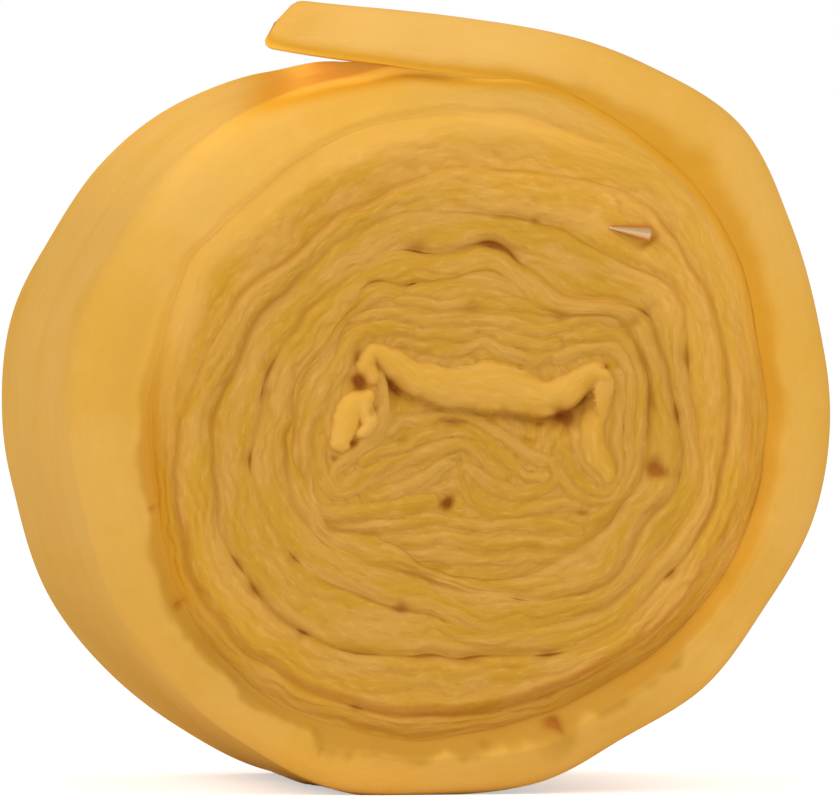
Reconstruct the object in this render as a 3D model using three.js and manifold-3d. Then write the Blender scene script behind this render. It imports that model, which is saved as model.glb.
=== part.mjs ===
// A long strip of glass wool wound into an insulation roll, lying on its side, with its free end
// over the top and a small metal pin caught in its front end.
//
// Millimetres, +Z up. The roll's axis runs along Y and its front end faces -Y. The origin is on the
// floor, under the middle of the roll. Winding angles run clockwise from the top, seen from -Y, and
// are counted in turns: 0 is over the top of the roll, where the free end starts to lift.

import * as THREE from 'three';
import { ParametricGeometry } from 'three/addons/geometries/ParametricGeometry.js';
import { mergeVertices } from 'three/addons/utils/BufferGeometryUtils.js';
import Module from 'manifold-3d';

// Blanket
const blanketWidth = 400; // along the roll's axis
const looseThickness = 39; // of the outer wrap, which nothing squeezes
const turnCount = 6; // whole turns outside the folded heart
const turnGap = 1.8; // open crease between one turn and the next

// Roll
const restSag = 4; // how far the underside is pressed flat by the floor
const wrapProud = 10; // how far the outer wrap stands out past the inner turns, at each end
const creaseDepth = 27; // how far the creases can be seen into, at each end
const shoulderFall = 26; // how far the outer wrap's edge rounds back towards its outer face
const lipFall = 9; // the same towards its inner face
const edgeFall = 7; // the same for the edges of the inner turns
// Radius of the outer outline at every sixteenth of a turn, clockwise from the top
const outlineRadii = [270, 276, 286, 272, 268, 264, 261, 261, 272, 279, 276, 274, 275, 281, 286, 289];

// Free end
const tailTurns = 0.031; // how far it reaches back past the top
const tailLift = 1; // how far its tip rises above the run of the wrap
const tailThickness = 28;
const tailTwist = 12; // how far the corners of its tip reach past the rest, or fall short of it
const tailTip = 8; // length of its rounded tip

// Folded heart, where the inner end was doubled up before winding
const heartWidth = 246;
const heartHeight = 146;
const heartShift = 14; // to the right of the roll's axis

// Metal pin
const pinLength = 28;
const pinBaseDiameter = 11;
const pinTipDiameter = 2.4;
const pinRim = 0.8; // chamfer round its flat end
const pinX = 124.5;
const pinZ = 373.5;
const pinSlope = 9; // degrees that its base points down
const pinLean = 8; // degrees that its base leans out of the face
const pinProud = 1.5; // how far its axis lies in front of the inner turns' edges
const pinClearance = 0.3;

// Facets
const tailSteps = 4;
const outerSteps = 40;
const innerSteps = 24;
const heartStep = 9;
const acrossShares = [0, 0.7, 1]; // points from the middle of an edge to its side

const wasm = await Module();
wasm.setup();

// Turns a closed geometry into a solid.
function solidOf(geometry) {
  const bare = geometry.index ? geometry.toNonIndexed() : geometry.clone();
  for (const name of Object.keys(bare.attributes)) {
    if (name !== 'position') bare.deleteAttribute(name);
  }
  const merged = mergeVertices(bare, 1e-4);
  const index = merged.index.array;
  const corners = [];
  for (let i = 0; i < index.length; i += 3) {
    const [a, b, c] = [index[i], index[i + 1], index[i + 2]];
    if (a !== b && b !== c && c !== a) corners.push(a, b, c);
  }
  return new wasm.Manifold(new wasm.Mesh({
    numProp: 3,
    vertProperties: new Float32Array(merged.attributes.position.array),
    triVerts: new Uint32Array(corners),
  }));
}

// Turns a solid into a named mesh.
function meshOf(solid, name, material) {
  const { vertProperties, triVerts } = solid.getMesh();
  const geometry = new THREE.BufferGeometry();
  geometry.setAttribute('position', new THREE.BufferAttribute(vertProperties, 3));
  geometry.setIndex(new THREE.BufferAttribute(triVerts, 1));
  geometry.computeVertexNormals();
  const mesh = new THREE.Mesh(geometry, material);
  mesh.name = name;
  return mesh;
}

// Outlines, about the roll's axis. A Vector2 holds X and Z.
const outlineCurve = new THREE.CatmullRomCurve3(
  outlineRadii.map((radius, i) => {
    const angle = (i / outlineRadii.length) * 2 * Math.PI;
    return new THREE.Vector3(radius * Math.sin(angle), 0, radius * Math.cos(angle));
  }),
  true,
);

function fraction(turns) {
  return turns - Math.floor(turns);
}

function outerOutline(turns) {
  const point = outlineCurve.getPoint(fraction(turns));
  return new THREE.Vector2(point.x, point.z);
}

function heartOutline(turns) {
  const angle = turns * 2 * Math.PI;
  return new THREE.Vector2(
    heartShift + (heartWidth / 2) * Math.sin(angle),
    (heartHeight / 2) * Math.cos(angle),
  );
}

// How far a crease has wound inwards: 0 on the outer outline, 1 on the outline of the heart.
const meanRadius = outlineRadii.reduce((sum, radius) => sum + radius) / outlineRadii.length;
const looseShare = looseThickness / (meanRadius - (heartWidth + heartHeight) / 4);
const tightShare = (1 - looseShare) / (turnCount - 1);

function woundShare(turns) {
  return turns < 1 ? turns * looseShare : Math.min(looseShare + (turns - 1) * tightShare, 1);
}

function creasePoint(turns) {
  return outerOutline(turns).lerp(heartOutline(turns), woundShare(turns));
}

const axisHeight = creasePoint(0.5).length() - restSag;

// A station is one cross-section of the strip: the edges of its outer and inner faces, how far it
// reaches along the axis and how far its edges round back. A twisted one has corners that reach
// further round the roll than the rest.
function spiralStation(turns) {
  const outer = creasePoint(turns);
  const inner = creasePoint(turns + 1);
  const inwards = inner.clone().sub(outer);
  const spacing = inwards.length();
  inwards.normalize();
  const covered = THREE.MathUtils.smoothstep(turns, 0.86, 1.04);
  const station = {
    outer,
    inner: outer.clone().addScaledVector(inwards, spacing - turnGap),
    reach: blanketWidth / 2 - wrapProud * covered,
    outerFall: THREE.MathUtils.lerp(shoulderFall, edgeFall, covered),
    innerFall: THREE.MathUtils.lerp(lipFall, edgeFall, covered),
    twist: new THREE.Vector2(),
  };
  if (turns < 0) {
    const free = Math.min(-turns / tailTurns, 1);
    const thickness = THREE.MathUtils.lerp(spacing - turnGap, tailThickness, free);
    outer.addScaledVector(inwards, -tailLift * free ** 2);
    station.inner.copy(outer).addScaledVector(inwards, thickness);
    station.twist.set(inwards.y, -inwards.x).multiplyScalar(tailTwist * free);
  }
  return station;
}

// Closes a strip at one end: the last stations narrow to nothing round a half circle.
function pinched(station, share) {
  const middle = station.outer.clone().lerp(station.inner, 0.5);
  const keep = Math.sqrt(1 - share ** 2);
  return {
    ...station,
    outer: middle.clone().lerp(station.outer, keep),
    inner: middle.clone().lerp(station.inner, keep),
    twist: station.twist.clone().multiplyScalar(keep),
  };
}

// The strip as a solid: its section is a slab whose two edges are rounded.
function stripSolid(stations) {
  const sides = [...acrossShares.slice(1).reverse().map((share) => -share), ...acrossShares];
  const ring = [
    ...sides.map((across) => [across, -1]),
    ...sides.toReversed().map((across) => [across, 1]),
  ];
  const steps = stations.length - 1;
  const place = (u, v, target) => {
    const station = stations[Math.round(u * steps)];
    const [across, end] = ring[Math.round(v * ring.length) % ring.length];
    const thickness = station.outer.distanceTo(station.inner);
    const deepest = Math.min(across > 0 ? station.outerFall : station.innerFall, thickness);
    const fall = deepest * (1 - Math.sqrt(1 - across ** 2));
    const point = station.inner.clone().lerp(station.outer, (1 + across) / 2);
    point.addScaledVector(station.twist, -across * end);
    target.set(point.x, end * (station.reach - fall), axisHeight + point.y);
  };
  return solidOf(new ParametricGeometry(place, steps, ring.length));
}

// Spiral: the free end, the outer wrap and the inner turns.
const tipTurns = tailTip / (2 * Math.PI * outlineRadii[0]);
const tipShares = [1, 0.8, 0.4];
const tipStations = tipShares.map((share) => pinched(spiralStation(-tailTurns - tipTurns * share), share));
const innerEnd = turnCount - 0.2; // the last turn thins out against the heart
const spiralTurns = [];
for (let i = 0; i < tailSteps; i += 1) {
  spiralTurns.push(-tailTurns * (1 - i / tailSteps));
}
for (let i = 0; i < outerSteps; i += 1) {
  spiralTurns.push(i / outerSteps);
}
for (let turns = 1; turns < innerEnd; turns += 1 / innerSteps) {
  spiralTurns.push(turns);
}
const spiral = stripSolid([
  ...tipStations,
  ...spiralTurns.map(spiralStation),
  pinched(spiralStation(innerEnd), 1),
]);

// Filling between the creases: the turns lie on each other there, deeper than can be seen.
const coreOutline = new THREE.Shape();
const coreStart = 0.02;
for (let i = 0; i <= outerSteps; i += 1) {
  const station = spiralStation(coreStart + (1 - 2 * coreStart) * (i / outerSteps));
  const middle = station.outer.lerp(station.inner, 0.5);
  if (i === 0) coreOutline.moveTo(middle.x, middle.y);
  else coreOutline.lineTo(middle.x, middle.y);
}
const coreLength = blanketWidth - 2 * (wrapProud + creaseDepth);
const coreGeometry = new THREE.ExtrudeGeometry(coreOutline, { depth: coreLength, bevelEnabled: false });
coreGeometry.translate(0, 0, -coreLength / 2);
coreGeometry.rotateX(Math.PI / 2);
coreGeometry.translate(0, 0, axisHeight);
const core = solidOf(coreGeometry);

// Folds of the heart, from the last turn inwards. Each guide point is X, Z and the thickness of the
// blanket there, as shares of half the heart's width, half its height and half its height.
const heartFolds = {
  loop: [
    [-0.62, 0.78, 0.26], [-0.3, 0.82, 0.26], [0.02, 0.8, 0.26], [0.36, 0.74, 0.24],
    [0.68, 0.74, 0.24], [0.87, 0.46, 0.28], [0.88, 0, 0.28], [0.84, -0.46, 0.28],
    [0.6, -0.74, 0.34], [0.3, -0.74, 0.42], [-0.02, -0.66, 0.5], [-0.36, -0.7, 0.42],
    [-0.66, -0.74, 0.34], [-0.87, -0.46, 0.26], [-0.9, -0.05, 0.22], [-0.86, 0.3, 0.2],
  ],
  knotDown: [[-0.86, 0.3, 0.18], [-0.77, 0.1, 0.18], [-0.76, -0.2, 0.18], [-0.72, -0.48, 0.14]],
  knotUp: [[-0.72, -0.5, 0.14], [-0.6, -0.36, 0.2], [-0.57, 0, 0.22], [-0.52, 0.3, 0.2], [-0.5, 0.48, 0.2]],
  tongue: [[-0.52, 0.5, 0.24], [-0.36, 0.5, 0.32], [-0.1, 0.42, 0.38], [0.18, 0.32, 0.38],
    [0.44, 0.36, 0.34], [0.64, 0.5, 0.22]],
  drop: [[0.62, 0.5, 0.2], [0.67, 0.3, 0.24], [0.67, -0.1, 0.26], [0.7, -0.5, 0.16]],
  saddle: [[0.72, -0.5, 0.14], [0.5, -0.36, 0.28], [0.24, -0.24, 0.4], [-0.05, -0.12, 0.46],
    [-0.3, -0.24, 0.4], [-0.46, -0.42, 0.18]],
};

function foldSolid(guides) {
  const halfHeight = heartHeight / 2;
  const curve = new THREE.CatmullRomCurve3(guides.map(([x, z, thickness]) => new THREE.Vector3(
    heartShift + (x * heartWidth) / 2,
    z * halfHeight,
    thickness * halfHeight,
  )));
  const count = Math.max(4, Math.round(curve.getLength() / heartStep));
  const stationAt = (share) => {
    const point = curve.getPoint(share);
    const along = curve.getTangent(share);
    const out = new THREE.Vector2(-along.y, along.x).normalize().multiplyScalar(point.z / 2);
    const middle = new THREE.Vector2(point.x, point.y);
    return {
      outer: middle.clone().add(out),
      inner: middle.clone().sub(out),
      reach: blanketWidth / 2 - wrapProud,
      outerFall: edgeFall,
      innerFall: edgeFall,
      twist: new THREE.Vector2(),
    };
  };
  const stations = [];
  for (let i = 0; i <= count; i += 1) stations.push(stationAt(i / count));
  const first = stations[0];
  const last = stations.at(-1);
  return stripSolid([
    ...[1, 0.7].map((share) => roundedTip(first, share, -1)),
    ...stations,
    ...[0.7, 1].map((share) => roundedTip(last, share, 1)),
  ]);
}

// A half-round end, set out from a station along the strip.
function roundedTip(station, share, direction) {
  const tip = pinched(station, share);
  const across = station.outer.clone().sub(station.inner);
  const along = new THREE.Vector2(across.y, -across.x).multiplyScalar((direction * share) / 2);
  tip.outer.add(along);
  tip.inner.add(along);
  return tip;
}

// Floor: what would lie below it is pressed flat.
const floorDepth = meanRadius / 5;
const floorGeometry = new THREE.BoxGeometry(4 * meanRadius, 2 * blanketWidth, floorDepth);
floorGeometry.translate(0, 0, -floorDepth / 2);

// Metal pin: a cone with a flat chamfered base, lying along the face.
function pinGeometry(clearance) {
  const half = pinLength / 2;
  const tip = pinTipDiameter / 2 + clearance;
  const base = pinBaseDiameter / 2 + clearance;
  const profile = [
    new THREE.Vector2(0, half + clearance),
    new THREE.Vector2(tip * 0.7, half + clearance),
    new THREE.Vector2(tip, half - pinRim),
    new THREE.Vector2(base, -half + pinRim),
    new THREE.Vector2(base - pinRim, -half - clearance),
    new THREE.Vector2(0, -half - clearance),
  ];
  const geometry = new THREE.LatheGeometry(profile.reverse(), 20);
  geometry.rotateZ(Math.PI / 2);
  geometry.rotateZ(THREE.MathUtils.degToRad(-pinLean));
  geometry.rotateY(THREE.MathUtils.degToRad(pinSlope));
  geometry.translate(pinX, -(blanketWidth / 2 - wrapProud + pinProud), pinZ);
  return geometry;
}

// Parts
const wool = new THREE.MeshStandardMaterial({ color: 0xe0a84c, roughness: 0.95, metalness: 0 });
const steel = new THREE.MeshStandardMaterial({ color: 0xb9b2a8, roughness: 0.3, metalness: 1 });

const blanketSolid = Object.values(heartFolds)
  .reduce((solid, guides) => solid.add(foldSolid(guides)), spiral.add(core))
  .subtract(solidOf(floorGeometry))
  .subtract(solidOf(pinGeometry(pinClearance)));

const insulationRoll = new THREE.Group();
insulationRoll.name = 'insulation_roll';
insulationRoll.add(meshOf(blanketSolid, 'insulation_blanket', wool));
insulationRoll.add(meshOf(solidOf(pinGeometry(0)), 'metal_pin', steel));

// The free end and the soft corners reach further to one side, so the roll is moved to stand
// evenly about its origin.
const extent = new THREE.Box3().setFromObject(insulationRoll);
insulationRoll.position.x = -(extent.min.x + extent.max.x) / 2;

export default insulationRoll;
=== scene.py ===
"""Looks of an insulation roll: a long glass wool blanket wound up and lying on its side. Its outer
wrap is loose, with a free end over the top, its inner end is folded up in the heart of the roll, and
a metal pin is caught in the front end.

Sizes in this file are millimetres until they reach a mesh. The roll's axis runs along Y, its front
end faces -Y. Directions round the roll are counted in turns, clockwise from the top as seen from
the front, and the blanket winds inwards as they grow.
"""

import math
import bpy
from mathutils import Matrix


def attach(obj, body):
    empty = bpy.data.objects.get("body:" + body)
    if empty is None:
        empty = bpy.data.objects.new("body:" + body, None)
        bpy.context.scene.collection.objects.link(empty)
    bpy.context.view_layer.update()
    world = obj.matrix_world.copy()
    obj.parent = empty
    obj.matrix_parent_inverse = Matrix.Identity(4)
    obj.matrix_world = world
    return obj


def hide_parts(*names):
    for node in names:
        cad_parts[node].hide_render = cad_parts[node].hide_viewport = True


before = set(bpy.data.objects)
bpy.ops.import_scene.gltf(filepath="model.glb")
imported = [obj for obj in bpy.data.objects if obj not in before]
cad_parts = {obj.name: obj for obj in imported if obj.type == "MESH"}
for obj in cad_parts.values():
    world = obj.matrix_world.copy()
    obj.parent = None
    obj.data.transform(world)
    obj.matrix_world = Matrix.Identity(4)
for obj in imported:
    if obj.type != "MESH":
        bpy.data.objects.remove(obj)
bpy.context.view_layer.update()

from types import SimpleNamespace

import bmesh
import bpy
import numpy as np
from mathutils import Vector

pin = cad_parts["metal_pin"]

MM = 0.001

# ---------- Sizes of the roll ----------

AXIS_HEIGHT = 246.0
AXIS_X = -6.4  # the outer wrap reaches further to the right, so the axis lies left of the middle
HALF_WIDTH = 200.0  # half of the blanket's width, along the roll's axis
SIDE_STRETCH = 1.011  # how much further the roll reaches sideways than the radii below say
INNER_SET_BACK = 10.0  # how far the inner turns' edges lie behind the outer wrap's
RECESS = 3.5  # how far back the second turn lies where it is thin, below
LEFT_RISE = 8.5  # how much further forward the second turn reaches at the upper left

# Radius of each crease between two turns. The first row is the outside of the roll, and each row
# runs on into the next.
CREASES = [
    [269, 270, 274, 280, 267, 259, 258, 255, 247, 247, 241, 247,
     247, 253, 249, 248, 248, 244, 245, 247, 244, 246, 244, 234],
    [226, 225, 227, 228, 224, 216, 214, 213, 211, 208, 203, 205,
     208, 212, 214, 212, 206, 199, 196, 198, 198, 198, 199, 203],
    [205, 207, 210, 219, 214, 208, 205, 205, 203, 200, 193, 191,
     192, 196, 199, 199, 195, 183, 174, 164, 158, 154, 155, 160],
    [170, 177, 188, 197, 196, 190, 188, 188, 182, 179, 171, 160,
     155, 156, 163, 169, 165, 157, 152, 146, 141, 137, 141, 144],
    [143, 145, 149, 155, 177, 167, 168, 174, 165, 163, 153, 144,
     130, 126, 127, 133, 133, 132, 125, 122, 117, 118, 117, 116],
    [113, 122, 117, 122, 153, 150, 154, 160, 150, 151, 138, 118,
     105, 102, 108, 112, 112, 108, 103, 101, 97, 98, 102, 98],
    [95, 105, 100, 101, 135, 137, 135, 137, 128, 119, 113, 107,
     98, 88, 86, 98, 101, 100, 99, 97, 91, 92, 93, 86],
]
DIRECTIONS = len(CREASES[0])  # clockwise from the top
SPIRAL_END = len(CREASES) - 1.02

# How far each crease inside the outer wrap is set into the face on either side of it, at eight
# places to the turn, and where the last of them closes on the heart
CREASE_DEPTHS = [
    [0.1, 1.0, 1.5, 1.5, 1.2, 0.7, 0.4, 0.6],
    [0.3, 0.2, 0.3, 0.4, 2.5, 2.0, 1.0, 2.0],
    [1.3, 1.9, 3.0, 1.8, 2.0, 1.5, 2.3, 1.6],
    [0.4, 1.6, 1.4, 1.0, 0.7, 1.4, 1.8, 0.9],
    [1.9, 1.2, 1.0, 0.8, 0.7, 0.9, 1.2, 0.7],
    [0.5, 0.4, 1.3, 0.4, 0.7, 0.8, 1.0, 0.5],
]
LAST_CREASE_DEPTH = 0.6

# How broadly the inner lip of the outer wrap is rounded, in the same directions as the radii
LIP = [8, 9, 13, 18, 15, 12, 12, 12, 12, 14, 19, 20, 17, 15, 12, 12, 13, 12, 10, 8, 7, 7, 7, 7, 7]

# How deep the loose wrap's shoulder falls away at the edge, and over what width the edge is rounded
# where it is loose and where the next turn holds it
SHOULDER = 26.0
LOOSE_ROUNDING = 38.0
HELD_ROUNDING = 7.5

# Free end: its tip lies TAIL_TURNS past the top, and it is drawn out from DRAWN_FROM on. Its end is
# rounded off, and the four corners of its tip are drawn sideways and upwards.
TAIL_TURNS = 0.034
DRAWN_FROM = 0.06
TIP_FALL = 9.0
TIP_RUN = 11.0
TAIL_CORNERS = {
    ("front", "outer"): (-46, 19), ("front", "inner"): (-77, 23),
    ("back", "outer"): (19, 6), ("back", "inner"): (4, 21),
}

# ---------- Camera ----------

CAMERA_AZIMUTH = -8.4
CAMERA_ELEVATION = 1.3
CAMERA_DISTANCE = 14.0
CAMERA_AIM = Vector((-0.0264, -0.2, 0.262))  # near the middle of the front end
LENS = 914.0


def set_camera():
    turn = math.radians(CAMERA_AZIMUTH)
    rise = math.radians(CAMERA_ELEVATION)
    back = Vector((
        math.sin(turn) * math.cos(rise),
        -math.cos(turn) * math.cos(rise),
        math.sin(rise),
    ))
    data = bpy.data.cameras.new("camera")
    data.lens = LENS
    data.clip_start = 0.1
    data.clip_end = 100.0
    camera = bpy.data.objects.new("camera", data)
    camera.rotation_mode = "QUATERNION"
    camera.location = CAMERA_AIM + back * CAMERA_DISTANCE
    camera.rotation_quaternion = (-back).to_track_quat("-Z", "Y")
    bpy.context.scene.collection.objects.link(camera)
    bpy.context.scene.camera = camera


set_camera()

# ---------- Uneven wool: smooth noise over a lattice of random heights ----------

LATTICE = 128
LAYER = 9.5  # thickness of the layers that the blanket's cut edge splits into


def lattice(seed):
    return np.random.default_rng(seed).random((LATTICE, LATTICE))


def unevenness(heights, along, across):
    """Smooth noise from -0.5 to 0.5."""
    i = np.floor(along).astype(int)
    j = np.floor(across).astype(int)
    fi = along - i
    fj = across - j
    fi = fi * fi * (3 - 2 * fi)
    fj = fj * fj * (3 - 2 * fj)
    i0, i1 = i % LATTICE, (i + 1) % LATTICE
    j0, j1 = j % LATTICE, (j + 1) % LATTICE
    near = heights[i0, j0] * (1 - fi) + heights[i1, j0] * fi
    far = heights[i0, j1] * (1 - fi) + heights[i1, j1] * fi
    return near * (1 - fj) + far * fj - 0.5


def ease(low, high, value):
    """0 below low, 1 above high, and a smooth run between them."""
    share = np.clip((value - low) / (high - low), 0, 1)
    return share * share * (3 - 2 * share)


def layer_relief(heights, along, across):
    """Height of the layers that show on the cut edge of the blanket: long soft ridges that sway, with
    thinner ones on them."""
    sway = 11.0 * unevenness(heights, along / 37.0, across / 30.0 + 9)
    sway = sway + 7.0 * unevenness(heights, along / 15.0, across / 22.0 + 19)
    sway = sway + 3.0 * unevenness(heights, along / 6.5, across / 9.0 + 29)
    place = (across + sway) / LAYER
    valley = (0.5 + 0.5 * np.cos(2 * math.pi * place)) ** 1.4
    valley = valley * (0.2 + 1.6 * (unevenness(heights, along / 26.0 + 40, place + 0.5) + 0.5))
    place = 2.4 * place + 0.4
    minor = (0.5 + 0.5 * np.cos(2 * math.pi * place)) ** 1.5
    minor = minor * (0.1 + 1.4 * (unevenness(heights, along / 15.0 + 70, place + 0.5) + 0.5))
    fine = unevenness(heights, along / 8.0 + 60, (across + 0.6 * sway) / 2.6 + 30)
    return 0.34 * fine - 0.56 * valley - 0.22 * minor


# ---------- Pits ----------

# Between the turns: direction in degrees, radius, half length round the roll, half width across it,
# and depth
PITS = [
    (352, 119, 8, 4, 6), (15, 123, 9, 4, 6), (23, 123, 9, 4, 4), (14, 77, 8, 4, 4),
    (11, 181, 6, 3, 3), (22, 160, 6, 3, 4), (24, 149, 3, 4, 2.5), (34, 177, 3, 3, 3),
    (351, 171, 6, 3, 3), (46, 104, 8, 4, 3.5), (62, 142, 5, 4.5, 7), (61, 157, 4, 6, 4),
    (75, 165, 7, 4, 3), (88, 154, 6, 4, 3), (72, 139, 9, 2.5, 3), (84, 138, 9, 2.5, 3),
    (102, 142, 8, 5, 11), (103, 149, 4, 6, 8), (124, 182, 5, 3, 4), (133, 131, 4, 5, 4),
    (143, 102, 8, 3, 2.5), (156, 169, 8, 3, 4), (158, 129, 6, 4, 3), (173, 160, 10, 3, 4),
    (184, 157, 9, 3, 4), (202, 158, 12, 4, 4), (214, 170, 4, 4, 5), (229, 169, 6, 3, 4),
    (236, 165, 6, 3, 3), (197, 198, 5, 3, 3), (193, 124, 5, 4, 5), (184, 99, 8, 4, 3),
    (192, 102, 8, 3, 2), (217, 152, 4, 3, 2), (228, 135, 5, 3, 4), (226, 104, 6, 6, 3),
    (260, 133, 6, 3, 4), (280, 118, 7, 4, 4), (288, 124, 8, 4, 4), (333, 105, 8, 3, 2.5),
    (236, 213, 3, 3, 13), (254, 201, 2.2, 3, 10), (303, 201, 7, 4, 1.2), (313, 200, 7, 3, 0.8),
    (322, 199, 5, 3, 0.8), (160.5, 211, 6.5, 3.5, 12), (159.5, 216, 2.5, 5, 11),
    (173, 214, 5, 3, 7), (201, 231, 2.5, 7, 4), (105, 224, 5, 7, 2.5), (119, 215, 6, 5, 3),
    (22, 240, 8, 7, 3), (45, 243, 9, 7, 3), (48.5, 181.5, 2.5, 5, 9),
]
# The pin lies in a shallow hollow: slope in degrees, half length, half width and depth.
PIN_HOLLOW = (-12, 17, 6, 2.5)
# Springy wool gives way further out than the size of a pit, and less deep.
PIT_WIDER = 1.4
PIT_SHARE = 0.42


def dent(x, z, middle_x, middle_z, slope, long, wide):
    """1 in the middle of an oval dent and 0 well outside it. long and wide are half measures."""
    c = math.cos(math.radians(slope))
    s = math.sin(math.radians(slope))
    a = ((x - middle_x) * c + (z - middle_z) * s) / long
    b = ((z - middle_z) * c - (x - middle_x) * s) / wide
    return np.exp(-(a * a + b * b))


def pin_place():
    """Where the middle of the metal pin lies on the front end."""
    corners = [pin.matrix_world @ Vector(corner) for corner in pin.bound_box]
    middle = sum(corners, Vector()) / 8 / MM
    return middle.x - AXIS_X, middle.z - AXIS_HEIGHT


def pressed_in(x, z):
    """How deep the front end is pressed in at a place."""
    dents = []
    for direction, radius, long, wide, deep in PITS:
        angle = math.radians(direction)
        place = (SIDE_STRETCH * radius * math.sin(angle), radius * math.cos(angle))
        dents.append(place + (-direction, long, wide, deep))
    dents.append(pin_place() + PIN_HOLLOW)
    depth = np.zeros_like(x)
    for middle_x, middle_z, slope, long, wide, deep in dents:
        depth += PIT_SHARE * deep * dent(x, z, middle_x, middle_z, slope, long, wide + PIT_WIDER)
    return depth


# ---------- The wound blanket ----------

# the innermost turn closes on the heart
crease_radii = np.array([radius for row in CREASES for radius in row] + [CREASES[-1][0]], float)
crease_depths = np.array([depth for row in CREASE_DEPTHS for depth in row] + [LAST_CREASE_DEPTH])
wander_heights = lattice(11)


def smooth_row(row, place):
    """Value at a fractional place in a row of numbers, by a smooth curve through them."""
    last = len(row) - 1
    place = np.clip(place, 0, last - 0.001)
    i = np.floor(place).astype(int)
    f = place - i
    a = row[np.maximum(i - 1, 0)]
    b = row[i]
    c = row[np.minimum(i + 1, last)]
    d = row[np.minimum(i + 2, last)]
    return b + 0.5 * f * (c - a + f * (2 * a - 5 * b + 4 * c - d + f * (3 * (b - c) + d - a)))


def crease_radius(turns):
    """Radius of the spiral crease, which strays a little more the further in it is wound."""
    radius = smooth_row(crease_radii, turns * DIRECTIONS)
    amount = np.clip(turns - 0.8, 0, 1)
    slow = unevenness(wander_heights, turns * 25.0, turns * 0 + 3.5)
    fast = unevenness(wander_heights, turns * 57.0, turns * 0 + 40.5)
    return radius + amount * (6.0 * slow + 4.0 * fast)


def raised(turns):
    """1 where the second turn passes the upper left, and reaches further forward than elsewhere."""
    return ease(1.72, 1.82, turns) * (1 - ease(2.0, 2.25, turns))


def recessed(turns):
    """1 where the second turn is thin and lies further back than the others."""
    return ease(1.14, 1.24, turns) * (1 - ease(1.70, 1.80, turns))


def reach_of(turns):
    """How far forward the blanket's edge reaches at each place along it."""
    set_back = INNER_SET_BACK * ease(1.0, 1.25, turns) + RECESS * recessed(turns)
    rise = LEFT_RISE * raised(turns)
    uneven = ease(1.0, 1.2, turns) * 4.0 * unevenness(wander_heights, turns * 7.0, turns * 0 + 77)
    return HALF_WIDTH - set_back + rise + uneven


def crease_depth(turns):
    uneven = 1.5 * unevenness(wander_heights, turns * 21.0, turns * 0 + 90)
    return smooth_row(crease_depths, (turns - 1) * len(CREASE_DEPTHS[0])) + uneven


def crease_floor(turns):
    """How far back from the outer wrap's edge the bottom of a crease lies."""
    lower_side = np.minimum(reach_of(turns), reach_of(turns - 1))
    return HALF_WIDTH - lower_side + crease_depth(turns)


def crease_line(turns, inset):
    """Painted shade next to a crease: how much darker the wool is painted at a distance from it."""
    return np.clip(0.34 * crease_depth(turns), 0, 0.66) * np.exp(-(inset / 3.2) ** 2)


def under_end(turns):
    """How far the first crease is lifted where it opens under the free end."""
    lifted = 4 * ease(0.92, 0.96, turns) + 6 * ease(0.955, 0.985, turns) - 3 * ease(0.985, 1.005, turns)
    return (lifted + 3 * ease(1.01, 1.05, turns)) * (1 - ease(1.03, 1.12, turns))


def length_along(turns):
    """Length of the blanket from its free end to a place."""
    table = np.linspace(-0.1, len(CREASES), 4000)
    radii = smooth_row(crease_radii, np.maximum(table, 0) * DIRECTIONS)
    steps = 2 * math.pi * radii * (table[1] - table[0])
    return np.interp(turns, table, np.cumsum(steps))


def ring_point(turns, radius):
    angle = 2 * math.pi * turns
    return np.stack([SIDE_STRETCH * radius * np.sin(angle), radius * np.cos(angle)], axis=-1)


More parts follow.
